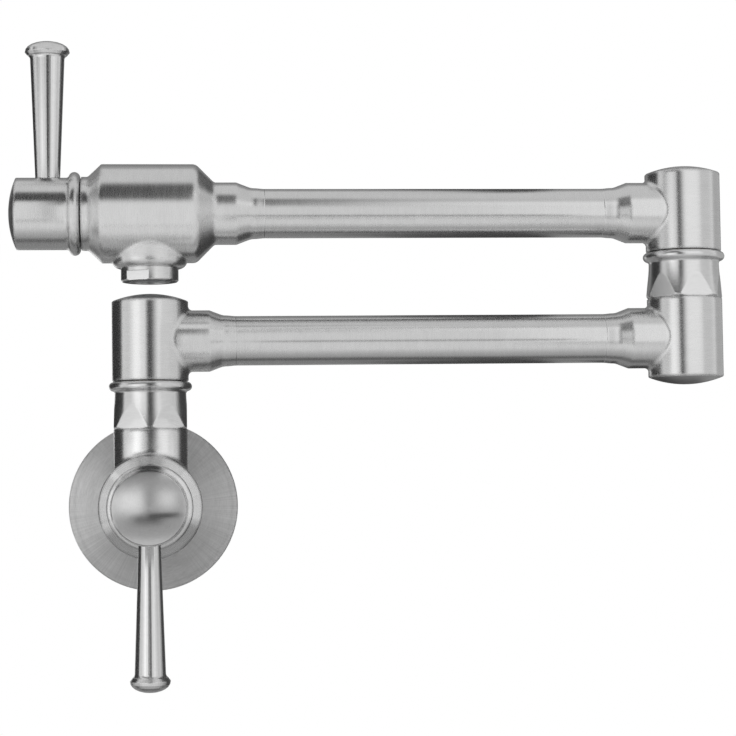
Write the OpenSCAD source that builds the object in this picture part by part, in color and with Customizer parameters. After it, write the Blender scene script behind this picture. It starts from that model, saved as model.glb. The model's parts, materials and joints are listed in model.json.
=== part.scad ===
// Wall mounted pot filler: two swivelling arms folded one above the other,
// a lever valve at the wall and a lever valve at the spout.
// The back of the wall flange lies on y = 0, the axis of the wall valve is
// the -Y axis through the origin, and both arms lie along +X.

/* [Arms] */
// Distance between the two swivel axes
arm_span = 250; // [200:5:320]
// Distance from the wall to the first swivel axis
wall_gap = 64; // [58:1:80]
// Outer diameter of the arm tubes
tube_d = 22.8; // [21:0.1:23.2]
// Wall thickness of the arm tubes
tube_wall = 1.5; // [1:0.1:2]
// Outer diameter of the sockets that hold the arm tubes
socket_d = 28.3; // [27.5:0.1:29.5]

/* [Swivels] */
// Outer diameter of the swivel hubs
hub_d = 35; // [34.4:0.1:37]
// Height of one swivel hub
hub_h = 36.9; // [35.5:0.1:42]
// Rise of the domed hub caps
hub_dome = 3.3; // [1.5:0.1:5]
// Height of a swivel nut
nut_h = 22.1; // [21:0.1:26]
// Width of a swivel nut across its flats
nut_af = 33.2; // [32.8:0.1:35]
// Turn of the elbow nut, as it was left when it was tightened
elbow_nut_turn = 8; // [0:1:59]
// Outer diameter of the hollow swivel spigots
spigot_d = 18.3; // [17.5:0.1:18.6]
// Radial play between a spigot and its bore
spigot_play = 0.1; // [0.05:0.01:0.1]

/* [Valves] */
// Diameter of the wall valve barrel
wall_barrel_d = 46.8; // [44:0.1:49]
// Diameter of the spout valve barrel
spout_barrel_d = 45.6; // [44:0.1:48]
// Height of the base swivel nut above the wall valve axis
neck_top = 35.5; // [34:0.5:42]
// Diameter of the neck that carries the base swivel
neck_d = 33.8; // [33:0.1:35]
// Length of the spout below the axis of the upper arm
spout_drop = 31.6; // [30:0.1:34]

/* [Handles] */
// Diameter of the handle knobs
knob_d = 33.2; // [32:0.1:35]
// Distance from the swivel axis to the end face of a knob
knob_reach = 61; // [59.5:0.1:66]
// Rise of the domed knob caps
knob_dome = 3.3; // [1.5:0.1:5]
// Distance from the knob axis to the tip of a lever
lever_reach = 80; // [65:1:100]
// Width of a lever at its root, along the knob axis
lever_root = 11.4; // [9:0.1:12]
// Width of a lever just under its end button
lever_end = 15.7; // [12.5:0.1:17]
// Width of the lever across the knob axis, as a share of the width along it
lever_flat = 0.86; // [0.8:0.01:1]

/* [Wall side] */
// Diameter of the wall flange
flange_d = 82; // [70:1:100]
// Rise of the dished wall flange
flange_rise = 7.5; // [6:0.5:10]
// Diameter of the inlet thread, bored for a half inch pipe
inlet_d = 18.6; // [18:0.1:19.2]
// Depth of the inlet thread
inlet_depth = 15; // [12:1:18]

/* [Hidden] */
$fn = 96;

steel = [0.74, 0.74, 0.73];
brass = [0.80, 0.65, 0.35];
rubber = [0.12, 0.12, 0.12];
plastic = [0.90, 0.90, 0.88];

slip = 0.05; // radial play of a joint that is screwed or brazed up
rim = 0.4; // small edge chamfer
seam = 0.35; // dark gap between a nut and the hub that turns on it

// Swivel stack: levels above the wall valve axis
joint1_z = neck_top + nut_h;
arm1_z = joint1_z + hub_h / 2;
nut2_z = joint1_z + hub_h;
joint2_z = nut2_z + nut_h;
arm2_z = joint2_z + hub_h / 2;

// Swivel: levels above the underside of its nut
thread_top = 12;
washer_t = 1;
collar_t = 3;
lip_z = thread_top + washer_t + collar_t + 0.3;
thread_r = 14.1;
collar_r = 12.6;
shoulder_r = 10;
lip_r = shoulder_r + 0.3;
spigot_r = spigot_d / 2;
spigot_bore_r = spigot_r + spigot_play;
spigot_in_r = spigot_r - 2.35;
spigot_down = 9;
spigot_up = 9.3;
groove_depth = 1.55;
groove_w = 2.2;
groove_z = [-3.2, 4.2];
ring_r = 0.8;

// Hub and arm tube
hub_r = hub_d / 2;
tube_r = tube_d / 2;
socket_r = socket_d / 2;
socket_in_r = tube_r + slip;
tube_start = 14;
water_r = 8;
cap_thread_r = 12.5;
cap_depth = 5.5;
collar_end = 27;
taper_turn = 21; // slope of the taper between a socket and its tube
taper_crown = 0.45; // roundings of the taper, as shares of its drop
taper_hollow = 3.2;
lip_wall = 0.35;
socket_end = collar_end + 3.4 * (socket_r - tube_r); // well past the end of a taper
web_r = 2; // rounding where an arm socket leaves its hub

// Valve: places along its axis, measured from the swivel or outlet axis
barrel_back = -19.8;
barrel_front = 21.4;
neck_r = 17;
neck_end = 30.9;
collar_back_r = 14.3;
seat_z = -12;
bore_r = 10.2;
bonnet_r = 13;
bonnet_z = 16;
disc_t = 3;
tube_stop = -31;
valve_collar = -39.8;
shank_seat = -34; // joint between the wall valve and its inlet shank
shank_tail = 9;
shank_thread_r = 11.5;
port_r = 7;
neck_web_r = 2.5; // rounding where the swivel neck leaves the barrel

// Knob, stem and lever
knob_r = knob_d / 2;
knob_start = 31.25;
bead_z = 34.1;
bead_r = 2.6;
bead_web_r = 1.5; // hollow rounding between a bead and the face beside it
stem_r = 4;
stem_top = 50;
stem_flat = 3.1;
flat_start = 38;
stem_play = 0.1;
lever_z = 46.4;
stud_r = 3;
stud_start = 7.4;
stud_grip = 8;
lever_button = 8.6; // length of the end button of a lever
button_share = 0.655;
cap_plug_r = 12.9;
cap_plug = 3.4;
screw_r = 2;
screw_head = 53.6;

// Spout outlet
boss_r = 17.3;
boss_round = 3.7;
boss_end = 25.4;
housing_r = 13.2;
housing_thread_r = 12;
housing_top = 18;
housing_in_r = 10.6;
housing_lip_r = 9.7;
housing_af = 24;
outlet_r = 8.5;

function arc(cx, cy, r, a0, a1, n = 8) =
    [for (i = [0:n]) [cx + r * cos(a0 + (a1 - a0) * i / n), cy + r * sin(a0 + (a1 - a0) * i / n)]];

// Frames. In a valve frame +Z points along the valve axis to the knob and +X
// points the way its lever points at rest, so its branch leaves along -X.
module wall_frame() translate([0, -wall_gap, 0]) rotate([90, 0, 0]) rotate([0, 0, -90]) children();
module spout_frame() translate([0, -wall_gap, arm2_z]) rotate([0, -90, 0]) children();
module branch() rotate([0, -90, 0]) children();
module axis1(z) translate([0, -wall_gap, z]) children();
module axis2(z) translate([arm_span, -wall_gap, z]) children();
module along_x() rotate([0, 90, 0]) children();

// A cylinder with both edges chamfered
module edged(r, h, e = rim) {
    rotate_extrude() polygon([[0, 0], [r - e, 0], [r, e], [r, h - e], [r - e, h], [0, h]]);
}

module ring(r_in, r_out, z0, z1) {
    difference() {
        translate([0, 0, z0]) cylinder(r = r_out, h = z1 - z0);
        translate([0, 0, z0 - 1]) cylinder(r = r_in, h = z1 - z0 + 2);
    }
}

// Hollow rounding between a turned face of radius r and a bead of radius b that
// is centred on radius c; the bead lies at z = 0 and the face runs along +Z
module bead_web(r, b, c, f = bead_web_r) {
    up = sqrt(pow(b + f, 2) - pow(r + f - c, 2));
    rotate_extrude() polygon(concat(
        [[r - 0.6, 0], [r - 0.6, up]],
        arc(r + f, up, f, 180, 180 + atan2(up, r + f - c), 5)));
}

// Shallow dome of rise h on a circle of radius a, its rim at z = 0
module dome(a, h) {
    ball = (a * a + h * h) / (2 * h);
    rotate_extrude() polygon(concat([[0, 0]], arc(0, h - ball, ball, 90 - asin(a / ball), 90, 12)));
}

// Outside of a tube socket, from the axis to a thin lip on the tube.
// It runs along +Z with its full width up to z = full.
module socket_skin(r, full, start = 0) {
    lip = tube_r + lip_wall;
    drop = r - lip;
    crown = taper_crown * drop;
    hollow = taper_hollow * drop;
    slope = (drop - (crown + hollow) * (1 - cos(taper_turn))) / sin(taper_turn);
    end = full + (crown + hollow) * sin(taper_turn) + slope * cos(taper_turn);
    rotate_extrude() polygon(concat(
        [[0, start], [r, start]],
        arc(r - crown, full, crown, 0, taper_turn, 3),
        arc(lip + hollow, end, hollow, 180 + taper_turn, 180, 8),
        [[0, end]]));
}

// Swivel hub that turns on a nut: joint face at z = 0, cap thread at the top,
// tube socket along +X
module turning_hub() {
    difference() {
        union() {
            edged(hub_r, hub_h);
            translate([0, 0, hub_h / 2]) along_x() socket_skin(socket_r, collar_end);
            translate([0, 0, hub_h / 2]) saddle_web(hub_r, socket_r, web_r);
        }
        translate([0, 0, -1]) cylinder(r = spigot_r + slip, h = hub_h + 2);
        translate([0, 0, hub_h - cap_depth]) cylinder(r = cap_thread_r + slip, h = cap_depth + 1);
        hub_waterway();
    }
}

// Swivel hub that carries a nut: cap thread at the bottom, nut thread at the top
module fixed_hub() {
    difference() {
        union() {
            edged(hub_r, hub_h);
            translate([0, 0, hub_h - 1]) edged(thread_r, thread_top + 1);
            translate([0, 0, hub_h / 2]) along_x() socket_skin(socket_r, collar_end);
            translate([0, 0, hub_h / 2]) saddle_web(hub_r, socket_r, web_r);
        }
        translate([0, 0, -1]) cylinder(r = spigot_bore_r, h = hub_h + thread_top + 2);
        translate([0, 0, -1]) cylinder(r = cap_thread_r + slip, h = cap_depth + 1);
        hub_waterway();
    }
}

// Rounding of radius f where a cylinder of radius small along +X leaves one of
// radius big about Z: the path of a ball rolled round the corner, held in both
module saddle_web(big, small, f) {
    rings = 64;
    steps = 5;
    hold = 0.04;
    inside = 1.5;
    n = steps + 2;
    slice = function(a)
        let (y = (small + f) * sin(a), z = (small + f) * cos(a), x = sqrt(pow(big + f, 2) - y * y),
             ball = [x, y, z],
             u = [x * big / (big + f), y * big / (big + f), z] - ball,
             v = [x, y * small / (small + f), z * small / (small + f)] - ball,
             turn = acos(u * v / (norm(u) * norm(v))))
        concat(
            [for (i = [0:steps]) let (t = i / steps)
                ball + (u * sin((1 - t) * turn) + v * sin(t * turn)) / sin(turn) * (1 + hold / f * pow(2 * t - 1, 4))],
            [[x - f - inside - 1, (small - inside) * sin(a), (small - inside) * cos(a)]]);
    points = [for (k = [0:rings - 1]) each slice(360 * k / rings)];
    faces = [for (k = [0:rings - 1], i = [0:n - 1])
        let (a = k * n + i, b = k * n + (i + 1) % n, c = ((k + 1) % rings) * n + (i + 1) % n, d = ((k + 1) % rings) * n + i)
        each [[a, c, b], [a, d, c]]];
    polyhedron(points, faces);
}

module hub_waterway() {
    translate([0, 0, hub_h / 2]) along_x() {
        cylinder(r = water_r, h = tube_start + 1);
        translate([0, 0, tube_start]) cylinder(r = socket_in_r, h = socket_end);
    }
}

// Domed cap screwed into the open end of a hub, its dome upward
module hub_cap() {
    translate([0, 0, -cap_depth + 0.5]) ring(cap_thread_r - 2, cap_thread_r, 0, cap_depth - 0.5);
    difference() {
        dome(hub_r - rim, hub_dome);
        translate([0, 0, -0.1]) cylinder(r = cap_thread_r - 2, h = 1.1);
    }
}

// Swivel nut: a turned bead over a waist that flares out, cut by a hexagon
module swivel_nut(turn) {
    waist = nut_af / 2 - 0.27;
    foot = nut_af / 2 + 1.9;
    flare_h = 17.2;
    bead = 2.05;
    bead_c = nut_af / 2 + 0.35;
    bead_at = nut_h - seam - bead;
    difference() {
        union() {
            intersection() {
                rotate([0, 0, turn]) cylinder(r = nut_af / 2 / cos(30), h = flare_h, $fn = 6);
                rotate_extrude() polygon(concat(
                    [[0, 0], [nut_af / 2 + 0.3, 0], [foot, 0.9]],
                    [for (i = [1:12]) [waist + (foot - waist) * pow(1 - i / 12, 2), 0.9 + (flare_h - 0.9) * i / 12]],
                    [[0, flare_h]]));
            }
            translate([0, 0, flare_h - 0.5]) cylinder(r = waist, h = nut_h - seam - flare_h + 0.5);
            translate([0, 0, bead_at]) rotate_extrude() translate([bead_c, 0]) circle(r = bead, $fn = 40);
            translate([0, 0, bead_at]) mirror([0, 0, 1]) bead_web(waist, bead, bead_c);
        }
        translate([0, 0, -1]) cylinder(r = thread_r + slip, h = lip_z + 1);
        cylinder(r = lip_r, h = nut_h + 1);
    }
}

// Hollow spigot that carries the water through a swivel
module spigot() {
    difference() {
        union() {
            translate([0, 0, -spigot_down]) cylinder(r = spigot_r, h = spigot_down + nut_h + spigot_up);
            translate([0, 0, thread_top + washer_t]) edged(collar_r, collar_t);
            translate([0, 0, lip_z - 1]) cylinder(r = shoulder_r, h = nut_h - lip_z + 1);
        }
        translate([0, 0, -spigot_down - 1]) cylinder(r = spigot_in_r, h = spigot_down + nut_h + spigot_up + 2);
        for (z = groove_z)
            ring(spigot_r - groove_depth, spigot_r + 1, z - groove_w / 2, z + groove_w / 2);
    }
}

module o_rings() {
    for (z = groove_z)
        translate([0, 0, z]) rotate_extrude() translate([spigot_r - groove_depth + 0.02 + ring_r, 0])
            circle(r = ring_r, $fn = 32);
}

module arm_tube(from, to) {
    translate([0, 0, from]) difference() {
        cylinder(r = tube_r, h = to - from);
        translate([0, 0, -1]) cylinder(r = tube_r - tube_wall, h = to - from + 2);
    }
}

// Outside of a valve barrel with its front neck, and its rounded back shoulder
module barrel_skin(r, back) {
    round_b = 4;
    low = r - round_b * (1 - cos(45));
    high_z = barrel_back - round_b * sin(45);
    foot_r = collar_back_r + 3 * (1 - cos(45));
    foot_z = high_z - (low - foot_r);
    rotate_extrude() polygon(concat(
        [[0, back], [collar_back_r, back]],
        arc(collar_back_r + 3, foot_z - 3 * sin(45), 3, 180, 135, 5),
        arc(r - round_b, barrel_back, round_b, -45, 0, 6),
        arc(r - 1, barrel_front, 1, 0, 45, 3),
        [[neck_r + 1.3, barrel_front + r - neck_r - 0.6]],
        arc(neck_r + 2, barrel_front + r - neck_r + 1.6, 2, 225, 180, 4),
        [[neck_r, neck_end], [0, neck_end]]));
}

module valve_cavity() {
    translate([0, 0, seat_z]) cylinder(r = bore_r, h = neck_end);
    translate([0, 0, bonnet_z]) cylinder(r = bonnet_r, h = neck_end);
}

// Threaded shank between the pipe in the wall and the wall valve
module inlet_shank() {
    length = wall_gap + shank_seat;
    color(steel) wall_frame() translate([0, 0, -wall_gap]) difference() {
        union() {
            edged(collar_back_r, length);
            cylinder(r = shank_thread_r, h = length + shank_tail);
        }
        translate([0, 0, -1]) cylinder(d = inlet_d, h = inlet_depth + 1);
        translate([0, 0, 1]) cylinder(r = port_r, h = length + shank_tail);
    }
}

module wall_valve_body() {
    color(steel) wall_frame() difference() {
        union() {
            barrel_skin(wall_barrel_d / 2, shank_seat);
            branch() cylinder(r = neck_d / 2, h = neck_top);
            branch() translate([0, 0, neck_top - 1]) edged(thread_r, thread_top + 1);
            rotate([0, 0, 180]) saddle_web(wall_barrel_d / 2, neck_d / 2, neck_web_r);
        }
        valve_cavity();
        translate([0, 0, shank_seat - 1]) cylinder(r = shank_thread_r + slip, h = shank_tail + 1);
        translate([0, 0, shank_seat]) cylinder(r = port_r, h = -shank_seat + 1);
        branch() translate([0, 0, 5]) cylinder(r = spigot_bore_r, h = neck_top + thread_top);
    }
}

module spout_valve_body() {
    color(steel) spout_frame() difference() {
        union() {
            barrel_skin(spout_barrel_d / 2, tube_stop);
            rotate([180, 0, 0]) socket_skin(collar_back_r + 0.1, -valve_collar, 30);
            branch() rotate_extrude() polygon(concat(
                [[0, 0], [boss_r, 0]],
                arc(boss_r - boss_round, boss_end - boss_round, boss_round, 0, 90, 8),
                [[0, boss_end]]));
        }
        valve_cavity();
        translate([0, 0, tube_stop - 30]) cylinder(r = socket_in_r, h = 30);
        translate([0, 0, tube_stop - 1]) cylinder(r = port_r, h = 30);
        branch() translate([0, 0, 5]) cylinder(r = outlet_r, h = boss_end);
        branch() translate([0, 0, housing_top - 1]) cylinder(r = housing_thread_r + slip, h = boss_end);
    }
}

// Ceramic disc cartridge of a quarter turn valve
module cartridge() {
    color(brass) difference() {
        union() {
            translate([0, 0, seat_z + 1]) cylinder(r = bore_r - 0.2, h = bonnet_z - seat_z - 1);
            ring(1, bonnet_r - 0.4, bonnet_z, bonnet_z + 2);
            translate([0, 0, bonnet_z]) cylinder(r = 7, h = 10);
        }
        translate([0, 0, seat_z]) cylinder(r = 5.5, h = 5);
        translate([0, 0, seat_z + 4]) cylinder(r = 8, h = 17);
        translate([0, 0, 0]) cylinder(r = stem_r + stem_play, h = 40);
        translate([-12, -5, -1]) cube([24, 10, 7]);
    }
}

module cartridge_seal() color(rubber) ring(7.2, 9.7, seat_z, seat_z + 1);

module half_moon_disc(z0) {
    difference() {
        translate([0, 0, z0]) cylinder(r = 7.7, h = disc_t);
        for (s = [-1, 1]) translate([0, s * 3.6, z0 - 1]) cylinder(r = 2.2, h = disc_t + 2);
    }
}

module fixed_disc() color(plastic) half_moon_disc(seat_z + 4);
module moving_disc() color(plastic) rotate([0, 0, 90]) half_moon_disc(seat_z + 4 + disc_t);

module bonnet_nut() {
    color(brass) difference() {
        ring(7.2, bonnet_r - slip, bonnet_z + 2, neck_end - 0.6);
        for (a = [0, 90]) rotate([0, 0, a]) translate([-15, -1.5, neck_end - 3]) cube([30, 3, 3]);
    }
}

// Stem with a flat for the knob and a foot that turns the moving disc
module stem() {
    color(brass) difference() {
        union() {
            translate([0, 0, seat_z + 4 + 2 * disc_t]) cylinder(r = 7.5, h = 2);
            translate([0, 0, -1]) cylinder(r = stem_r, h = stem_top + 1);
            translate([0, 0, 6.5]) cylinder(r = 6.5, h = 2.4);
        }
        translate([-10 - stem_flat, -5, flat_start]) cube([10, 10, stem_top]);
        translate([0, 0, stem_top - 9]) cylinder(r = screw_r + slip, h = 10);
    }
}

module knob() {
    color(steel) difference() {
        union() {
            translate([0, 0, knob_start]) edged(knob_r, knob_reach - knob_start);
            translate([0, 0, bead_z]) rotate_extrude() translate([knob_r, 0]) circle(r = bead_r, $fn = 48);
            translate([0, 0, bead_z]) bead_web(knob_r, bead_r, knob_r);
        }
        ring(8, 12.3, knob_start - 1, 38.5);
        difference() {
            translate([0, 0, knob_start - 1]) cylinder(r = stem_r + slip, h = stem_top - knob_start + 1);
            translate([-10 - stem_flat - slip, -5, flat_start]) cube([10, 10, stem_top]);
        }
        translate([0, 0, 45]) cylinder(r = screw_r + 0.1, h = 20);
        translate([0, 0, screw_head]) cylinder(r = 4, h = 20);
        translate([0, 0, knob_reach - cap_plug - 0.4]) cylinder(r = cap_plug_r + slip, h = 20);
        translate([stud_start, 0, lever_z]) along_x() cylinder(r = stud_r + slip, h = 20);
    }
}

module knob_screw() {
    color(steel) difference() {
        union() {
            translate([0, 0, stem_top - 7.5]) cylinder(r = screw_r, h = screw_head - stem_top + 8);
            translate([0, 0, screw_head]) edged(3.6, 2.8, 0.3);
        }
        translate([0, 0, screw_head + 1]) cylinder(d = 2.9, h = 4, $fn = 6);
    }
}

module knob_cap() {
    color(steel) translate([0, 0, knob_reach]) {
        ring(cap_plug_r - 1.6, cap_plug_r, -cap_plug, 0);
        difference() {
            dome(knob_r - rim, knob_dome);
            translate([0, 0, -0.1]) cylinder(r = cap_plug_r - 1.6, h = 1.1);
        }
    }
}

// A turned form pressed oval: each [radius, height] of the profile is a ring
// whose width across Y is the share flat of its width along X
module oval_turned(flat, tip, profile) {
    n = 48;
    rows = len(profile);
    points = concat(
        [for (p = profile, i = [0:n - 1]) [p[0] * cos(360 * i / n), p[0] * flat * sin(360 * i / n), p[1]]],
        [[0, 0, tip]]);
    faces = concat(
        [[for (i = [0:n - 1]) i]],
        [for (k = [0:rows - 2], i = [0:n - 1])
            let (a = k * n + i, b = k * n + (i + 1) % n)
            each [[a, a + n, b + n], [a, b + n, b]]],
        [for (i = [0:n - 1]) [(rows - 1) * n + i, rows * n, (rows - 1) * n + (i + 1) % n]]);
    polyhedron(points, faces);
}

// Tapered lever of oval section that ends in a flattened button
module lever() {
    button_r = lever_end * button_share;
    neck_x = lever_reach - lever_button;
    wide_x = lever_reach - lever_button * 0.6;
    foot_x = knob_r - 2.5;
    half = function(x) (lever_root + (lever_end - lever_root) * (x - knob_r) / (neck_x - knob_r)) / 2;
    color(steel) difference() {
        translate([0, 0, lever_z]) along_x() oval_turned(lever_flat, lever_reach, concat(
            [[half(foot_x), foot_x], [half(neck_x), neck_x]],
            arc(half(neck_x) + 2, neck_x + 0.2, 2, 170, 115, 3),
            [for (i = [0:6]) [button_r * cos(i * 14), wide_x + (lever_reach - wide_x) * pow(sin(i * 14), 0.9)]]));
        cylinder(r = knob_r + slip, h = 100);
        translate([0, 0, lever_z]) along_x() cylinder(r = stud_r + slip, h = knob_r + stud_grip);
    }
}

// Threaded stud that joins a lever to its knob
module lever_stud() {
    color(brass) translate([stud_start, 0, lever_z]) along_x() cylinder(r = stud_r, h = knob_r + stud_grip - stud_start);
}

module wall_flange() {
    r = flange_d / 2;
    hole = collar_back_r + 0.15;
    color(steel) rotate([90, 0, 0]) difference() {
        rotate_extrude($fn = 128) polygon(concat(
            [[hole, 0], [r, 0], [r, 1.1]],
            arc(r - 0.9, 1.1, 0.9, 0, 60, 3),
            [[r * 0.72, flange_rise * 0.52], [r * 0.55, flange_rise * 0.78], [hole + 4, flange_rise],
             [hole + 1, flange_rise + 1.6], [hole, flange_rise + 1.6]]));
        rotate_extrude($fn = 128) polygon([
            [hole + 5, -1], [r - 3, -1], [r - 3, 1.6], [r * 0.72, flange_rise * 0.52 - 1],
            [hole + 5, flange_rise - 2]]);
        translate([0, 0, 4]) rotate([90, 0, 0]) cylinder(r = 1.6, h = 30);
    }
}

module flange_seal() {
    r = flange_d / 2;
    color(rubber) rotate([90, 0, 0]) ring(r - 6.5, r - 3.2, 0.05, 1.2);
}

module flange_grub_screw() {
    color(steel) translate([0, -4, 0]) rotate([180, 0, 0]) difference() {
        translate([0, 0, collar_back_r]) cylinder(r = 1.5, h = 4.6);
        translate([0, 0, collar_back_r + 3]) cylinder(d = 1.6, h = 4, $fn = 6);
    }
}

// Aerator housing with two spanner flats, screwed into the spout
module aerator_housing() {
    color(steel) spout_frame() branch() difference() {
        union() {
            translate([0, 0, housing_top]) cylinder(r = housing_thread_r, h = boss_end - housing_top + 0.5);
            translate([0, 0, boss_end]) rotate_extrude() polygon([[0, 0], [housing_r, 0],
                [housing_r, spout_drop - boss_end - 0.6], [housing_r - 0.6, spout_drop - boss_end], [0, spout_drop - boss_end]]);
        }
        translate([0, 0, housing_top - 1]) cylinder(r = housing_in_r, h = spout_drop - housing_top);
        cylinder(r = housing_lip_r, h = spout_drop + 1);
        rotate([0, 0, -64]) for (s = [-1, 1])
            translate([s * (housing_af / 2 + 5), 0, boss_end + 4]) cube([10, 30, 4.4], center = true);
    }
}

module aerator_insert() {
    cell = 3.1;
    color(plastic) spout_frame() branch() difference() {
        translate([0, 0, housing_top + 1]) cylinder(r = housing_in_r - slip, h = spout_drop - housing_top - 2);
        translate([0, 0, housing_top]) cylinder(r = housing_in_r - 1.6, h = spout_drop - housing_top - 3.5);
        for (i = [-2:2], j = [-2:2])
            if (abs(i + j) < 3) translate([cell * (i + j / 2), cell * j * sin(60), housing_top]) cylinder(r = 0.9, h = 20);
    }
}

module aerator_washer() {
    color(rubber) spout_frame() branch() ring(outlet_r + 0.3, housing_thread_r - 0.2, housing_top - 1, housing_top);
}

module wall_cartridge() wall_frame() cartridge();
module wall_cartridge_seal() wall_frame() cartridge_seal();
module wall_fixed_disc() wall_frame() fixed_disc();
module wall_bonnet_nut() wall_frame() bonnet_nut();
module wall_moving_disc() wall_frame() moving_disc();
module wall_stem() wall_frame() stem();
module wall_knob() wall_frame() knob();
module wall_knob_screw() wall_frame() knob_screw();
module wall_knob_cap() wall_frame() knob_cap();
module wall_lever_stud() wall_frame() lever_stud();
module wall_lever() wall_frame() lever();

module base_swivel_nut() color(steel) axis1(neck_top) swivel_nut(30);
module base_thrust_washer() color(plastic) axis1(neck_top) ring(spigot_bore_r + 0.2, collar_r, thread_top, thread_top + washer_t);
module base_spigot() color(brass) axis1(neck_top) spigot();
module base_o_rings() color(rubber) axis1(neck_top) o_rings();
module lower_root_hub() color(steel) axis1(joint1_z) turning_hub();
module lower_root_cap() color(steel) axis1(joint1_z + hub_h) hub_cap();
module lower_arm_tube() color(steel) axis1(arm1_z) along_x() arm_tube(tube_start, arm_span - tube_start);
module lower_elbow_hub() color(steel) axis2(joint1_z) rotate([0, 0, 180]) fixed_hub();
module lower_elbow_cap() color(steel) axis2(joint1_z) rotate([180, 0, 0]) hub_cap();
module elbow_swivel_nut() color(steel) axis2(nut2_z) swivel_nut(elbow_nut_turn);
module elbow_thrust_washer() color(plastic) axis2(nut2_z) ring(spigot_bore_r + 0.2, collar_r, thread_top, thread_top + washer_t);
module elbow_spigot() color(brass) axis2(nut2_z) spigot();
module elbow_o_rings() color(rubber) axis2(nut2_z) o_rings();
module upper_elbow_hub() color(steel) axis2(joint2_z) rotate([0, 0, 180]) turning_hub();
module upper_elbow_cap() color(steel) axis2(joint2_z + hub_h) hub_cap();
module upper_arm_tube() color(steel) axis1(arm2_z) along_x() arm_tube(-tube_stop, arm_span - tube_start);

module spout_cartridge() spout_frame() cartridge();
module spout_cartridge_seal() spout_frame() cartridge_seal();
module spout_fixed_disc() spout_frame() fixed_disc();
module spout_bonnet_nut() spout_frame() bonnet_nut();
module spout_moving_disc() spout_frame() moving_disc();
module spout_stem() spout_frame() stem();
module spout_knob() spout_frame() knob();
module spout_knob_screw() spout_frame() knob_screw();
module spout_knob_cap() spout_frame() knob_cap();
module spout_lever_stud() spout_frame() lever_stud();
module spout_lever() spout_frame() lever();

wall_flange();
flange_seal();
flange_grub_screw();
inlet_shank();
wall_valve_body();
wall_cartridge();
wall_cartridge_seal();
wall_fixed_disc();
wall_bonnet_nut();
wall_moving_disc();
wall_stem();
wall_knob();
wall_knob_screw();
wall_knob_cap();
wall_lever_stud();
wall_lever();
base_swivel_nut();
base_thrust_washer();
base_spigot();
base_o_rings();
lower_root_hub();
lower_root_cap();
lower_arm_tube();
lower_elbow_hub();
lower_elbow_cap();
elbow_swivel_nut();
elbow_thrust_washer();
elbow_spigot();
elbow_o_rings();
upper_elbow_hub();
upper_elbow_cap();
upper_arm_tube();
spout_valve_body();
spout_cartridge();
spout_cartridge_seal();
spout_fixed_disc();
spout_bonnet_nut();
spout_moving_disc();
spout_stem();
spout_knob();
spout_knob_screw();
spout_knob_cap();
spout_lever_stud();
spout_lever();
aerator_housing();
aerator_insert();
aerator_washer();
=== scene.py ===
import json
import math

import bpy
from mathutils import Matrix, Vector


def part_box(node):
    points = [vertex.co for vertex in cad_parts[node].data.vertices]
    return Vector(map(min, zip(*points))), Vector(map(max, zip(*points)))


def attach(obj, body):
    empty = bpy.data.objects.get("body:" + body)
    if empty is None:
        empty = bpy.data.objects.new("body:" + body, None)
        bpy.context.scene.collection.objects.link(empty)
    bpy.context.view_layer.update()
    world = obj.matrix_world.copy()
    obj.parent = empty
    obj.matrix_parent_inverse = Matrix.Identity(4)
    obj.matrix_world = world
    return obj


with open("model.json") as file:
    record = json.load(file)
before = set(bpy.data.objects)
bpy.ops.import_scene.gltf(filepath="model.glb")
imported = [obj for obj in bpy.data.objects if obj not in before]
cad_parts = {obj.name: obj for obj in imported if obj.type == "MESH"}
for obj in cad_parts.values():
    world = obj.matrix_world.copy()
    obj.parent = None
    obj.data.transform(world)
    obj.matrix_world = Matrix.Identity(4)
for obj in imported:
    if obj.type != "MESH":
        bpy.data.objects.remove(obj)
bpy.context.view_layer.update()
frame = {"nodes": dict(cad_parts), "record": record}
scene = bpy.context.scene
print("packed model loaded:", len(frame["nodes"]), "pieces")


def put(tree, kind, **settings):
    node = tree.nodes.new("ShaderNode" + kind)
    for name, value in settings.items():
        setattr(node, name, value)
    return node


def plug(tree, socket, value):
    if isinstance(value, bpy.types.NodeSocket):
        tree.links.new(value, socket)
    else:
        socket.default_value = value


def plugAll(tree, node, values):
    for socket, value in zip(node.inputs, values):
        plug(tree, socket, value)


def maths(tree, operation, *values):
    node = put(tree, "Math", operation=operation)
    plugAll(tree, node, values)
    return node.outputs[0]


def vectors(tree, operation, *values):
    node = put(tree, "VectorMath", operation=operation)
    plugAll(tree, node, values)
    return node.outputs["Value" if operation in ("DOT_PRODUCT", "LENGTH") else "Vector"]


def scaled(tree, vector, amount):
    node = put(tree, "VectorMath", operation="SCALE")
    plug(tree, node.inputs[0], vector)
    plug(tree, node.inputs["Scale"], amount)
    return node.outputs["Vector"]


# the Mix node has a pair of inputs and an output for each kind of value
def blendOf(tree, share, first, second, kind="FLOAT"):
    node = put(tree, "Mix", data_type=kind)
    pair = {"FLOAT": 2, "VECTOR": 4, "RGBA": 6}[kind]
    plug(tree, node.inputs[0], share)
    plug(tree, node.inputs[pair], first)
    plug(tree, node.inputs[pair + 1], second)
    return node.outputs[pair // 2 - 1]


def remap(tree, value, low, high, toLow=0, toHigh=1, smooth=False):
    node = put(tree, "MapRange", interpolation_type="SMOOTHSTEP" if smooth else "LINEAR")
    plugAll(tree, node, (value, low, high, toLow, toHigh))
    return node.outputs[0]


def noiseOf(tree, place, scale, detail=2, hard=0.5, fourth=None):
    node = put(tree, "TexNoise", noise_dimensions="3D" if fourth is None else "4D")
    plug(tree, node.inputs["Vector"], place)
    plug(tree, node.inputs["Scale"], scale)
    plug(tree, node.inputs["Detail"], detail)
    plug(tree, node.inputs["Roughness"], hard)
    if fourth is not None:
        plug(tree, node.inputs["W"], fourth)
    return node.outputs[0]


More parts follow.
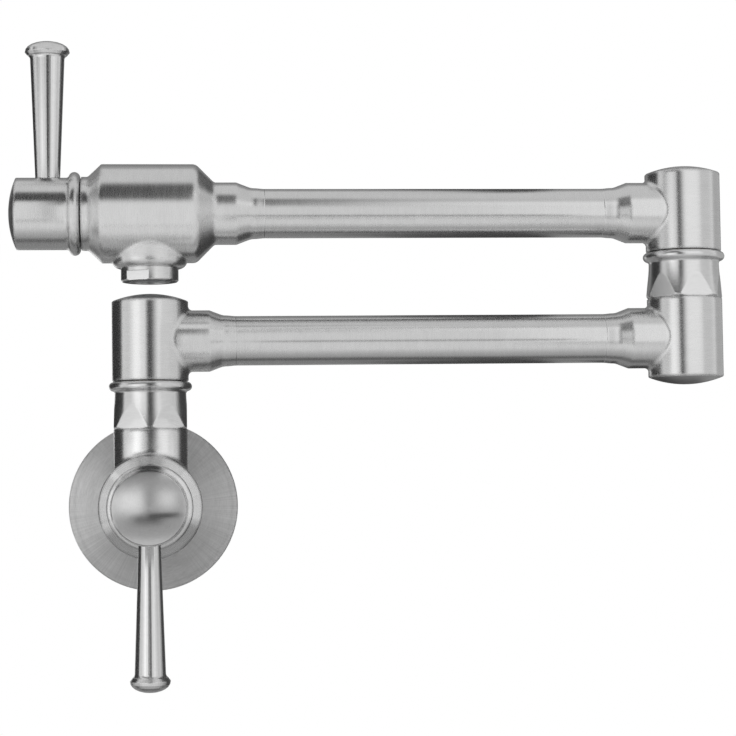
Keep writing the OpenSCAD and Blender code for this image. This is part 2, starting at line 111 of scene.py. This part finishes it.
def bumpOf(tree, height, strength, distance):
    node = put(tree, "Bump")
    plug(tree, node.inputs["Height"], height)
    plug(tree, node.inputs["Strength"], strength)
    plug(tree, node.inputs["Distance"], distance)
    return node


def grey(value):
    return (value, value, value, 1)


def emptyMaterial(name):
    material = bpy.data.materials.new(name)
    material.use_nodes = True
    material.node_tree.nodes.clear()
    return material, material.node_tree


def startMaterial(name):
    material, tree = emptyMaterial(name)
    shader = put(tree, "BsdfPrincipled")
    tree.links.new(shader.outputs[0], put(tree, "OutputMaterial").inputs[0])
    return material, tree, shader


# the axis through a piece's middle: a point on it, at 0 along it, and its direction;
# the box's own small errors are rounded off
def axisOf(node, direction):
    middle = [round((low + high) / 2, 5) for low, high in zip(*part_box(node))]
    middle["XYZ".index(direction)] = 0
    return tuple(middle), direction


valveAxis = ((0, 0, 0), "Y")
baseAxis = axisOf("base_spigot", "Z")
elbowAxis = axisOf("elbow_spigot", "Z")
lowerAxis = axisOf("lower_root_hub", "X")
upperAxis = axisOf("upper_elbow_hub", "X")
wallLeverAxis = axisOf("wall_lever", "Z")
spoutLeverAxis = axisOf("spout_lever", "Z")

# colour and shade are the light and dark of the grain, pull is how far the shine is
# drawn out; across and round say how close the grain's lines are (per metre) and how
# soon one ends on its way round a piece; edge is the radius of a softened edge
finishes = {
    "body": {
        "colour": 0.77, "shade": 0.69, "rough": 0.27, "pull": 0.75,
        "across": 1900, "round": 3.0, "scratch": 0.03, "edge": 0.0020},
    "tube": {
        "colour": 0.76, "shade": 0.68, "rough": 0.27, "pull": 0.75,
        "across": 1900, "round": 2.6, "scratch": 0.03, "edge": 0.0003},
    "barrel": {
        "colour": 0.77, "shade": 0.69, "rough": 0.27, "pull": 0.75,
        "across": 1900, "round": 3.0, "scratch": 0.03, "edge": 0.0026},
    "nut": {
        "colour": 0.76, "shade": 0.69, "rough": 0.25, "pull": 0.55,
        "across": 2200, "round": 4.0, "scratch": 0.03, "edge": 0.0012},
    "flange": {
        "colour": 0.72, "shade": 0.52, "rough": 0.40, "pull": 0.85,
        # the last number sets how close the flange's painted highlight streaks lie on their way round
        "across": 1300, "round": 9.0, "scratch": 0.06, "edge": 0.0020, "paintedRays": 45.0},
    "bright": {
        "colour": 0.77, "shade": 0.70, "rough": 0.24, "pull": 0.40,
        "across": 2200, "round": 4.0, "scratch": 0.03, "edge": 0.0004},
    "cap": {
        "colour": 0.74, "shade": 0.65, "rough": 0.30, "pull": 0.60,
        "across": 1700, "round": 7.0, "scratch": 0.05, "edge": 0.0004},
}

# piece: finish, the axis it was brushed round, and where it has a branch the
# branch's axis and the distance from the first axis at which the branch begins
brushedPieces = {
    "wall_flange": ("flange", valveAxis),
    "inlet_shank": ("body", valveAxis),
    "wall_valve_body": ("barrel", valveAxis, baseAxis, 0.0246),
    "wall_knob": ("body", valveAxis),
    "wall_knob_cap": ("cap", valveAxis),
    "wall_lever": ("bright", wallLeverAxis),
    "base_swivel_nut": ("nut", baseAxis),
    "lower_root_hub": ("body", baseAxis, lowerAxis, 0.0186),
    "lower_root_cap": ("cap", baseAxis),
    "lower_arm_tube": ("tube", lowerAxis),
    "lower_elbow_hub": ("body", elbowAxis, lowerAxis, 0.0186),
    "lower_elbow_cap": ("cap", elbowAxis),
    "elbow_swivel_nut": ("nut", elbowAxis),
    "upper_elbow_hub": ("body", elbowAxis, upperAxis, 0.0186),
    "upper_elbow_cap": ("cap", elbowAxis),
    "upper_arm_tube": ("tube", upperAxis),
    "spout_valve_body": ("barrel", upperAxis, baseAxis, 0.0231),
    "spout_knob": ("body", upperAxis),
    "spout_knob_cap": ("cap", upperAxis),
    "spout_lever": ("bright", spoutLeverAxis),
    "aerator_housing": ("bright", baseAxis),
}

# what all brushed finishes share, lengths in metres
brushing = {
    "slant": 1.3,               # how fast the lines change outwards, beside along the axis
    "detail": 3,
    "hard": 0.65,               # how much of the finest detail shows
    "broadDetail": 2,
    "broadTimes": 7,            # broad lines are so much wider than the fine ones,
    "longTimes": 2,             # so much longer
    "broadShare": 0.35,         # and make up so much of the grain
    "toneRange": (0.35, 0.65),  # grain heights that show as shade and as colour
    "roughRange": (0.3, 0.7),
    "roughSwing": 0.03,
    "seam": 0.0002,             # half the width of the change from a piece to its branch
    "softSamples": 6,
    "wearAndHighlightSamples": 4,
    "wearAndHighlightRadius": 0.0003,        # edges are painted bright over this width, partly wear and partly a painted highlight
    "wearAndHighlightRange": (0.01, 0.15),   # from how far and up to how far the surface turns away
    # how much of the painted edge highlight, partly wear, shows, and its colour
    "wearAndHighlightShare": 0.6,
    "wearAndHighlightColour": 0.86,
    "rubSmooth": 0.08,
    "depth": 0.0002,            # of the scratches
    "lipRange": (0.5, 2.5),     # in radii of the edge, where it runs out near a lip
    "noRadius": 0.00001,
}

# painted highlight streaks out from the middle of the flange, stronger in some places, and a painted shade
# ring round the valve, darker towards it
paintedFlangeLight = {
    "detail": 4,
    "range": (0.36, 0.64),
    "patches": 32,
    "patchRange": (0.42, 0.60),
    "share": (0.10, 0.60),
    "paintedShadeRange": (0.022, 0.040),  # metres from the middle
    "paintedShade": 0.28,
    "paintedShadeColour": 0.2,
}

alongAxis = {"X": (1, 0, 0), "Y": (0, 1, 0), "Z": (0, 0, 1)}
offAxis = {"X": (0, 1, 1), "Y": (1, 0, 1), "Z": (1, 1, 0)}
kindOf = {"along": "FLOAT", "away": "FLOAT", "out": "VECTOR", "round": "VECTOR"}


# where a point lies about an axis: along it, away from it, and the way out and round
def about(tree, place, axis):
    point, name = axis
    away = vectors(tree, "SUBTRACT", place, point)
    out = vectors(tree, "MULTIPLY", away, offAxis[name])
    return {
        "along": vectors(tree, "DOT_PRODUCT", away, alongAxis[name]),
        "away": vectors(tree, "LENGTH", out),
        "out": vectors(tree, "NORMALIZE", out),
        "round": vectors(tree, "CROSS_PRODUCT", alongAxis[name], out),
    }


# long lines round the axis, close together across it
def grainOf(tree, where, across, turns, detail):
    outwards = maths(tree, "MULTIPLY", where["away"], brushing["slant"])
    total = maths(tree, "ADD", where["along"], outwards)
    line = maths(tree, "MULTIPLY", total, across)
    return noiseOf(tree, scaled(tree, where["out"], turns), 1, detail, brushing["hard"], line)


# the rounded normal of the edges; a socket's end runs on into the fillet on its
# tube, so it isn't an edge, and the rounding runs out towards it
def softEdge(tree, radius, samples, fromLip):
    node = put(tree, "Bevel", samples=samples)
    if fromLip is not None:
        near, far = brushing["lipRange"]
        radius = remap(tree, fromLip, near * radius, far * radius, brushing["noRadius"], radius)
    plug(tree, node.inputs["Radius"], radius)
    return node.outputs[0]


# the flange's painted highlight streaks, laid over the tone of its grain
def paintedRaysOver(tree, tone, place, where, turns):
    streaks = noiseOf(tree, scaled(tree, where["out"], turns), 1, paintedFlangeLight["detail"])
    patches = noiseOf(tree, place, paintedFlangeLight["patches"])
    share = remap(tree, patches, *paintedFlangeLight["patchRange"], *paintedFlangeLight["share"])
    return blendOf(tree, share, tone, remap(tree, streaks, *paintedFlangeLight["range"]))


def brushedMetal(name, look, axis, branch=None, branchFrom=0.0, lip=None):
    material, tree, shader = startMaterial(name)
    place = put(tree, "TexCoord").outputs["Object"]
    normal = put(tree, "NewGeometry").outputs["Normal"]
    where = about(tree, place, axis)
    if branch:
        other = about(tree, place, branch)
        seam = (branchFrom - brushing["seam"], branchFrom + brushing["seam"])
        beyond = remap(tree, where["away"], *seam)
        where = {key: blendOf(tree, beyond, where[key], other[key], kindOf[key]) for key in where}

    # the scratches run round the piece, so the shine spreads at right angles to them
    turned = put(tree, "VectorTransform", vector_type="VECTOR", convert_from="OBJECT", convert_to="WORLD")
    tree.links.new(where["round"], turned.inputs[0])
    plug(tree, shader.inputs["Tangent"], vectors(tree, "CROSS_PRODUCT", normal, turned.outputs[0]))

    wider = look["across"] / brushing["broadTimes"]
    longer = look["round"] / brushing["longTimes"]
    fine = grainOf(tree, where, look["across"], look["round"], brushing["detail"])
    broad = grainOf(tree, where, wider, longer, brushing["broadDetail"])
    grain = blendOf(tree, brushing["broadShare"], fine, broad)

    fromLip = None
    if lip is not None:
        split = put(tree, "SeparateXYZ")
        tree.links.new(place, split.inputs[0])
        fromLip = maths(tree, "ABSOLUTE", maths(tree, "SUBTRACT", split.outputs[0], lip))
    # edges are painted brighter, partly wear and partly a painted highlight, and made smoother
    wearAndHighlightNormal = softEdge(tree, brushing["wearAndHighlightRadius"], brushing["wearAndHighlightSamples"], fromLip)
    softened = softEdge(tree, look["edge"], brushing["softSamples"], fromLip)
    turnedAway = maths(tree, "SUBTRACT", 1, vectors(tree, "DOT_PRODUCT", wearAndHighlightNormal, normal))
    wearAndHighlight = remap(tree, turnedAway, *brushing["wearAndHighlightRange"])

    tone = remap(tree, grain, *brushing["toneRange"])
    # painted highlight streaks fanning out over the flange
    if "paintedRays" in look:
        tone = paintedRaysOver(tree, tone, place, where, look["paintedRays"])
    metal = blendOf(tree, tone, grey(look["shade"]), grey(look["colour"]), "RGBA")
    # painted shade on the flange, darker towards the valve
    if "paintedRays" in look:
        paintedShade = remap(tree, where["away"], *paintedFlangeLight["paintedShadeRange"], paintedFlangeLight["paintedShade"], 0, True)
        metal = blendOf(tree, paintedShade, metal, grey(paintedFlangeLight["paintedShadeColour"]), "RGBA")
    # the painted edge highlight, partly wear, laid into the colour
    wearAndHighlightAmount = maths(tree, "MULTIPLY", wearAndHighlight, brushing["wearAndHighlightShare"])
    metal = blendOf(tree, wearAndHighlightAmount, metal, grey(brushing["wearAndHighlightColour"]), "RGBA")
    plug(tree, shader.inputs["Base Color"], metal)

    swing = (look["rough"] - brushing["roughSwing"], look["rough"] + brushing["roughSwing"])
    rough = remap(tree, grain, *brushing["roughRange"], *swing)
    rough = blendOf(tree, wearAndHighlight, rough, look["rough"] - brushing["rubSmooth"])
    plug(tree, shader.inputs["Roughness"], rough)
    bump = bumpOf(tree, grain, look["scratch"], brushing["depth"])
    plug(tree, bump.inputs["Normal"], softened)
    plug(tree, shader.inputs["Normal"], bump.outputs[0])
    shader.inputs["Metallic"].default_value = 1
    shader.inputs["Anisotropic"].default_value = look["pull"]
    return material


# the inner pieces' finishes, by their slot in the record; change is how much darker
# the dark of the grain is
innerFinishes = {
    "screw_steel": {
        "colour": (0.55, 0.55, 0.55), "rough": 0.30, "metal": 1, "grain": 1500, "change": 0.10},
    "brass": {
        "colour": (0.72, 0.53, 0.25), "rough": 0.28, "metal": 1, "grain": 1200, "change": 0.12},
    "ceramic": {
        "colour": (0.86, 0.86, 0.83), "rough": 0.15, "metal": 0, "grain": 900, "change": 0.04},
    "nylon": {
        "colour": (0.82, 0.82, 0.78), "rough": 0.50, "metal": 0, "grain": 700, "change": 0.06},
    "rubber_seal": {
        "colour": (0.03, 0.03, 0.03), "rough": 0.60, "metal": 0, "grain": 1800, "change": 0.35},
    "aerator_plastic": {
        "colour": (0.42, 0.43, 0.44), "rough": 0.45, "metal": 0, "grain": 1100, "change": 0.10},
}
innerGrain = {"detail": 3, "roughSwing": 0.06, "bump": 0.08, "depth": 0.0001}


def innerMaterial(name, look):
    material, tree, shader = startMaterial(name)
    place = put(tree, "TexCoord").outputs["Object"]
    noise = noiseOf(tree, place, look["grain"], innerGrain["detail"])
    light = look["colour"] + (1,)
    dark = tuple(part * (1 - look["change"]) for part in look["colour"]) + (1,)
    plug(tree, shader.inputs["Base Color"], blendOf(tree, noise, dark, light, "RGBA"))
    swing = (look["rough"] - innerGrain["roughSwing"], look["rough"] + innerGrain["roughSwing"])
    plug(tree, shader.inputs["Roughness"], remap(tree, noise, 0, 1, *swing))
    bump = bumpOf(tree, noise, innerGrain["bump"], innerGrain["depth"])
    plug(tree, shader.inputs["Normal"], bump.outputs[0])
    shader.inputs["Metallic"].default_value = look["metal"]
    return material


def dress(piece, material):
    if not piece.material_slots:
        piece.data.materials.append(material)
    for slot in piece.material_slots:
        slot.material = material


# the fillets where the arm tubes leave their sockets, in metres
fillet = {
    "tube": 0.0114,       # radius of the arm tubes
    "step": 0.00034,      # height of a socket's lip over the tube
    "length": 0.0045,
    "clear": 0.000005,    # the thin end stands this far off the tube
    "sunk": 0.0001,       # and the inside reaches this far into the tube and the lip
    "steps": 12,
    "sides": 96,
    "edge": 0.00001,      # no softened edges
}
# socket: its fillet, the way out of it along X, the tube's axis, the body it rides on
lips = {
    "lower_root_hub": ("lower_root_fillet", 1, lowerAxis, "lower_arm"),
    "lower_elbow_hub": ("lower_elbow_fillet", -1, lowerAxis, "lower_arm"),
    "upper_elbow_hub": ("upper_elbow_fillet", -1, upperAxis, "upper_arm"),
    "spout_valve_body": ("spout_fillet", 1, upperAxis, "upper_arm"),
}


def lipOf(socket):
    lowest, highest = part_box(socket)
    return highest[0] if lips[socket][1] > 0 else lowest[0]


inner = {slot: innerMaterial(slot + "Finish", look) for slot, look in innerFinishes.items()}
slotOf = {part["node"]: part["material_slot"] for part in frame["record"]["subparts"]}
for name, piece in frame["nodes"].items():
    if name in brushedPieces:
        look, *axes = brushedPieces[name]
        lip = lipOf(name) if name in lips else None
        dress(piece, brushedMetal(name + "Finish", finishes[look], *axes, lip=lip))
    else:
        dress(piece, inner[slotOf[name]])
print("finishes set")


# x and radius round a fillet: down from the lip to the tube, and back inside
def filletProfile(lip, way):
    end = lip + way * fillet["length"]
    root = lip - way * fillet["sunk"]
    profile = []
    for step in range(fillet["steps"] + 1):
        share = step / fillet["steps"]
        fallen = share * share * (3 - 2 * share)  # level at both ends
        height = fillet["clear"] + fillet["step"] * (1 - fallen)
        profile.append((lip + way * fillet["length"] * share, fillet["tube"] + height))
    profile.append((end, fillet["tube"] - fillet["sunk"]))
    profile.append((root, fillet["tube"] - fillet["sunk"]))
    profile.append((root, fillet["tube"] + fillet["step"]))
    return profile if way > 0 else profile[::-1]


# a closed ring turned about a line parallel to X
def turnedRing(name, profile, axis, sides):
    mesh = bpy.data.meshes.new(name)
    _, y, z = axis[0]
    corners = []
    for side in range(sides):
        turn = 2 * math.pi * side / sides
        corners += [(x, y + away * math.cos(turn), z + away * math.sin(turn)) for x, away in profile]
    count = len(profile)
    faces = []
    for side in range(sides):
        here, there = side * count, (side + 1) % sides * count
        for low in range(count):
            high = (low + 1) % count
            faces.append((here + low, there + low, there + high, here + high))
    mesh.from_pydata(corners, [], faces)
    mesh.validate()
    mesh.shade_smooth()
    ring = bpy.data.objects.new(name, mesh)
    scene.collection.objects.link(ring)
    return ring


for socket, (name, way, axis, body) in lips.items():
    lip = lipOf(socket)
    ring = turnedRing(name, filletProfile(lip, way), axis, fillet["sides"])
    look = {**finishes["tube"], "edge": fillet["edge"]}
    dress(ring, brushedMetal(name + "Finish", look, axis, lip=lip))
    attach(ring, body)
print("fillets made")

camera = {
    "place": (0.017737, -1.037525, 0.006561),
    "yaw": 4.849,        # degrees to the right of straight at the wall
    "pitch": 3.309,
    "roll": -0.717,
    "lens": 103.31,      # millimetres
    "sensor": 36,
    "sees": (0.05, 50),  # nearest and farthest, in metres
}
yaw, pitch, roll = (math.radians(camera[k]) for k in ("yaw", "pitch", "roll"))
forward = Vector((math.sin(yaw) * math.cos(pitch), math.cos(yaw) * math.cos(pitch), math.sin(pitch)))
level = Vector((math.cos(yaw), -math.sin(yaw), 0))
upright = level.cross(forward)
across = math.cos(roll) * level + math.sin(roll) * upright
upward = -math.sin(roll) * level + math.cos(roll) * upright
lens = bpy.data.cameras.new("camera")
lens.sensor_width = camera["sensor"]
lens.lens = camera["lens"]
lens.clip_start, lens.clip_end = camera["sees"]
eye = bpy.data.objects.new("camera", lens)
scene.collection.objects.link(eye)
turned = Matrix((across, upward, -forward)).transposed().to_4x4()
eye.matrix_world = Matrix.Translation(camera["place"]) @ turned
scene.camera = eye

# room is the light that falls on the tap from all round; the backdrop looks white
studio = {"room": 0.55, "backdrop": 1.0, "middle": (0.1, -0.064, 0.08)}
world = bpy.data.worlds.new("studio")
scene.world = world
world.use_nodes = True
tree = world.node_tree
tree.nodes.clear()
ray = put(tree, "LightPath").outputs
seen = maths(tree, "MAXIMUM", ray["Is Camera Ray"], ray["Is Glossy Ray"])
seen = maths(tree, "MAXIMUM", seen, ray["Is Transmission Ray"])
backdrop = put(tree, "Background")
plug(tree, backdrop.inputs["Color"], grey(1))
plug(tree, backdrop.inputs["Strength"], blendOf(tree, seen, studio["room"], studio["backdrop"]))
tree.links.new(backdrop.outputs[0], put(tree, "OutputWorld").inputs[0])

# light panels and dark flags that only the metal's reflections see: centre, size,
# brightness, how far the edges fade (left, right, bottom, top as the tap sees
# them), and the way or the point they face if not the tap
toWall, toRoom, toRight, toLeft = (0, 1, 0), (0, -1, 0), (1, 0, 0), (-1, 0, 0)
cards = {
    # before the tap
    "gapFlag": {
        "at": (0.035, -0.625, 0.10), "size": (0.46, 0.75), "bright": 0.02,
        "fade": (0.25, 0.12, 0.10, 0.10), "face": (-0.27, -0.064, 0.10)},
    "leftBox": {
        "at": (-0.62, -0.78, 0.10), "size": (0.55, 1.3), "bright": 1.28,
        "fade": (0.16, 0.16, 0.16, 0.16)},
    "rightBox": {
        "at": (0.92, -0.78, 0.10), "size": (0.45, 1.3), "bright": 0.92,
        "fade": (0.14, 0.14, 0.14, 0.14)},
    "leftGrey": {
        "at": (-0.75, -0.22, 0.10), "size": (0.50, 1.3), "bright": 0.76,
        "fade": (0.02, 0.25, 0.1, 0.1), "way": toRight},
    "rightGrey": {
        "at": (0.66, -0.24, 0.10), "size": (0.56, 1.3), "bright": 0.68,
        "fade": (0.25, 0.02, 0.1, 0.1), "way": toLeft},

    # close before the spout valve, the arms and the hub over the wall valve
    "knobFront": {
        "at": (-0.07, -0.11, 0.1355), "size": (0.05, 0.053), "bright": 0.84,
        "fade": (0.004, 0.004, 0.012, 0.006), "way": toWall},
    "barrelFront": {
        "at": (-0.005, -0.11, 0.131), "size": (0.08, 0.046), "bright": 0.84,
        "fade": (0.004, 0.004, 0.006, 0.011), "way": toWall},
    "upperFront": {
        "at": (0.110, -0.11, 0.138), "size": (0.18, 0.060), "bright": 0.78,
        "fade": (0.09, 0.004, 0.006, 0.021), "way": toWall},
    "lowerFront": {
        "at": (0.1125, -0.11, 0.0825), "size": (0.175, 0.085), "bright": 0.78,
        "fade": (0.04, 0.004, 0.010, 0.030), "way": toWall},
    "rootFront": {
        "at": (0.0225, -0.094, 0.069), "size": (0.023, 0.042), "bright": 0.76,
        "fade": (0.003, 0.003, 0.008, 0.010), "way": toWall},
    "upperLine": {
        "at": (0.125, -0.105, 0.1237), "size": (0.17, 0.006), "bright": 0.30,
        "fade": (0.02, 0.02, 0.002, 0.002), "way": toWall},
    "lowerLine": {
        "at": (0.125, -0.105, 0.0708), "size": (0.17, 0.006), "bright": 0.30,
        "fade": (0.02, 0.02, 0.002, 0.002), "way": toWall},
    "upperFlag": {
        "at": (-0.41, -0.366, 0.412), "size": (1.10, 0.48), "bright": 0.05,
        "fade": (0.05, 0.10, 0.17, 0.13), "face": (-0.41, -0.064, 0.135)},

    # close before the wall valve's cap, and over the spout lever's button
    "capFront": {
        "at": (0.0, -0.1380, 0.001), "size": (0.066, 0.052), "bright": 0.42,
        "fade": (0.006, 0.004, 0.004, 0.004), "way": toWall},
    "capGlow": {
        "at": (-0.0175, -0.1370, 0.0045), "size": (0.036, 0.030), "bright": 1.0,
        "fade": (0.008, 0.020, 0.014, 0.014), "way": toWall},
    "capShine": {
        "at": (0.0125, -0.1373, 0.0060), "size": (0.024, 0.022), "bright": 0.88,
        "fade": (0.011, 0.011, 0.010, 0.010), "way": toWall},
    "rimShade": {
        "at": (0.0, -0.112, 0.040), "size": (0.054, 0.040), "bright": 0.04,
        "fade": (0.016, 0.010, 0.012, 0.012), "face": (-0.0005, -0.112, 0)},
    "capSmudge": {
        "at": (-0.0010, -0.1360, -0.0072), "size": (0.030, 0.010), "bright": 0.12,
        "fade": (0.012, 0.012, 0.005, 0.004), "way": toWall},
    "capLine": {
        "at": (0.0125, -0.1355, -0.0047), "size": (0.030, 0.0040), "bright": 0.0,
        "fade": (0.014, 0.004, 0.0015, 0.0010), "way": toWall},
    "buttonTop": {
        "at": (-0.0464, -0.095, 0.237), "size": (0.09, 0.048), "bright": 0.70,
        "fade": (0.006, 0.006, 0.006, 0.006), "face": (-0.0464, -0.068, 0.210)},

    # over, beside and behind the tap
    "overCard": {
        "at": (0.10, -0.064, 0.95), "size": (2.6, 1.7), "bright": 0.69,
        "fade": (0.3, 0.3, 0.3, 0.3), "face": (0.10, -0.063, 0.10)},
    "topBackFlag": {
        "at": (0.10, 0.625, 0.68), "size": (2.4, 1.5), "bright": 0.24,
        "fade": (0.2, 0.2, 0.1, 0.80), "face": (0.10, -0.064, 0.10)},
    "leftBackFlag": {
        "at": (-0.78, 0.50, 0.10), "size": (1.25, 1.4), "bright": 0.04,
        "fade": (0.06, 0.06, 0.06, 0.06)},
    "betweenFlag": {
        "at": (0.165, 0.075, 0.05), "size": (0.26, 0.60), "bright": 0.06,
        "fade": (0.03, 0.03, 0.05, 0.05), "face": (0.0, 0.035, 0.05)},
    "backFlag": {
        "at": (0.30, 0.85, 0.15), "size": (1.10, 1.2), "bright": 0.18,
        "fade": (0.12, 0.12, 0.12, 0.12)},
    "backLow": {
        "at": (0.20, 0.81, -0.24), "size": (1.60, 0.40), "bright": 0.32,
        "fade": (0.12, 0.12, 0.05, 0.12), "way": toRoom},
    "capBack": {
        "at": (0.25, 0.0, 0.014), "size": (0.07, 0.074), "bright": 0.05,
        "fade": (0.01, 0.01, 0.02, 0.004), "way": toRoom},
    "outletBack": {
        "at": (0.0, 0.0, 0.088), "size": (0.034, 0.036), "bright": 0.05,
        "fade": (0.003, 0.003, 0.004, 0.002), "way": toRoom},
    "rightBackFlag": {
        "at": (1.10, 0.50, 0.10), "size": (1.30, 1.4), "bright": 0.48,
        "fade": (0.10, 0.10, 0.12, 0.12)},

    # under it
    "underFlag": {
        "at": (0.10, 0.01, -0.285), "size": (1.2, 0.22), "bright": 0.14,
        "fade": (0.05, 0.05, 0.04, 0.08), "face": (0.10, 0.011, 0)},
    "lowFrontFlag": {
        "at": (0.10, -0.24, -0.29), "size": (1.6, 0.44), "bright": 0.42,
        "fade": (0.1, 0.1, 0.05, 0.38), "face": (0.10, -0.239, 0)},
    "lowBackFlag": {
        "at": (0.10, 0.42, -0.28), "size": (1.5, 0.76), "bright": 0.28,
        "fade": (0.06, 0.06, 0.06, 0.06), "face": (0.10, 0.42, 0)},
}


def flat(name, width, height):
    mesh = bpy.data.meshes.new(name)
    right, top = width / 2, height / 2
    corners = [(-right, -top, 0), (right, -top, 0), (right, top, 0), (-right, top, 0)]
    mesh.from_pydata(corners, [], [(0, 1, 2, 3)])
    plane = bpy.data.objects.new(name, mesh)
    scene.collection.objects.link(plane)
    return plane


def wayTo(place, target):
    return (Vector(target) - Vector(place)).normalized()


def setUp(thing, place, way, front):
    turned = Vector(way).to_track_quat(front, "Y").to_matrix().to_4x4()
    thing.matrix_world = Matrix.Translation(place) @ turned


# 1 on the side that the normal points to, 0 on the other
def frontOf(tree):
    return maths(tree, "SUBTRACT", 1, put(tree, "NewGeometry").outputs["Backfacing"])


# the surface where share is 1, nothing where it is 0
def seeThrough(tree, share, surface):
    mixed = put(tree, "MixShader")
    clear = put(tree, "BsdfTransparent").outputs[0]
    plugAll(tree, mixed, (share, clear, surface))
    tree.links.new(mixed.outputs[0], put(tree, "OutputMaterial").inputs[0])


def cardMaterial(name, look):
    material, tree = emptyMaterial(name)
    split = put(tree, "SeparateXYZ")
    tree.links.new(put(tree, "TexCoord").outputs["Object"], split.inputs[0])
    inside = 1.0
    for side, fade in enumerate(look["fade"]):
        half = look["size"][side // 2] / 2
        inward = maths(tree, "MULTIPLY", split.outputs[side // 2], 1 if side % 2 == 0 else -1)
        inside = maths(tree, "MULTIPLY", inside, remap(tree, inward, -half, fade - half, smooth=True))
    inside = maths(tree, "MULTIPLY", inside, frontOf(tree))
    glow = put(tree, "Emission")
    glow.inputs["Strength"].default_value = look["bright"]
    seeThrough(tree, inside, glow.outputs[0])
    material.cycles.emission_sampling = "NONE"
    return material


for name, look in cards.items():
    plane = flat(name, *look["size"])
    way = look.get("way") or wayTo(look["at"], look.get("face", studio["middle"]))
    setUp(plane, look["at"], way, "Z")
    dress(plane, cardMaterial(name + "Card", look))
    plane.visible_camera = plane.visible_diffuse = plane.visible_shadow = plane.visible_transmission = False


def makeLamp(name, place, target, width, height, power):
    light = bpy.data.lights.new(name, "AREA")
    light.shape = "RECTANGLE"
    light.size, light.size_y = width, height
    light.energy = power
    lamp = bpy.data.objects.new(name, light)
    scene.collection.objects.link(lamp)
    setUp(lamp, place, wayTo(place, target), "-Z")
    return lamp


lamps = {
    "overhead": {"at": (0.1, -0.25, 1.4), "size": 1.1, "power": 9.0},
    "side": {"at": (-1.0, -0.9, 0.7), "size": 0.9, "power": 5.0},
}
for name, look in lamps.items():
    lamp = makeLamp(name, look["at"], studio["middle"], look["size"], look["size"], look["power"])
    lamp.visible_glossy = False

# weak ones round the wall valve's front rim, which only the metal reflects:
# degrees clockwise from the top, and brightness
rimLamps = {
    "away": 0.040,
    "y": -0.097,
    "size": (0.032, 0.022),
    "bright": {30: 0.12, 60: 0.22, 90: 0.18, 270: 0.26, 300: 0.28, 330: 0.12},
}
for degrees, bright in rimLamps["bright"].items():
    turn = math.radians(degrees)
    width, height = rimLamps["size"]
    place = (rimLamps["away"] * math.sin(turn), rimLamps["y"], rimLamps["away"] * math.cos(turn))
    power = bright * math.pi * width * height
    lamp = makeLamp("rim" + str(degrees), place, (0, rimLamps["y"], 0), width, height, power)
    lamp.visible_camera = lamp.visible_diffuse = lamp.visible_transmission = False

# it fades into the backdrop away from the tap and doesn't hide the tap from below
floorLook = {
    "at": (0.1, -0.06, -0.30),
    "size": 2.5,
    "solid": 0.60,   # how far out it starts to fade
    "colour": 0.86,
    "rough": 0.9,
}
floor = flat("floor", floorLook["size"], floorLook["size"])
floor.location = floorLook["at"]
material, tree = emptyMaterial("paleFloor")
shader = put(tree, "BsdfPrincipled")
shader.inputs["Base Color"].default_value = grey(floorLook["colour"])
shader.inputs["Roughness"].default_value = floorLook["rough"]
away = vectors(tree, "LENGTH", put(tree, "TexCoord").outputs["Object"])
shown = remap(tree, away, floorLook["solid"], floorLook["size"] / 2, 1, 0, True)
shown = maths(tree, "MULTIPLY", shown, frontOf(tree))
shown = blendOf(tree, put(tree, "LightPath").outputs["Is Camera Ray"], 1.0, shown)
seeThrough(tree, shown, shader.outputs[0])
floor.data.materials.append(material)
print("studio ready")

scene.view_settings.view_transform = "Standard"
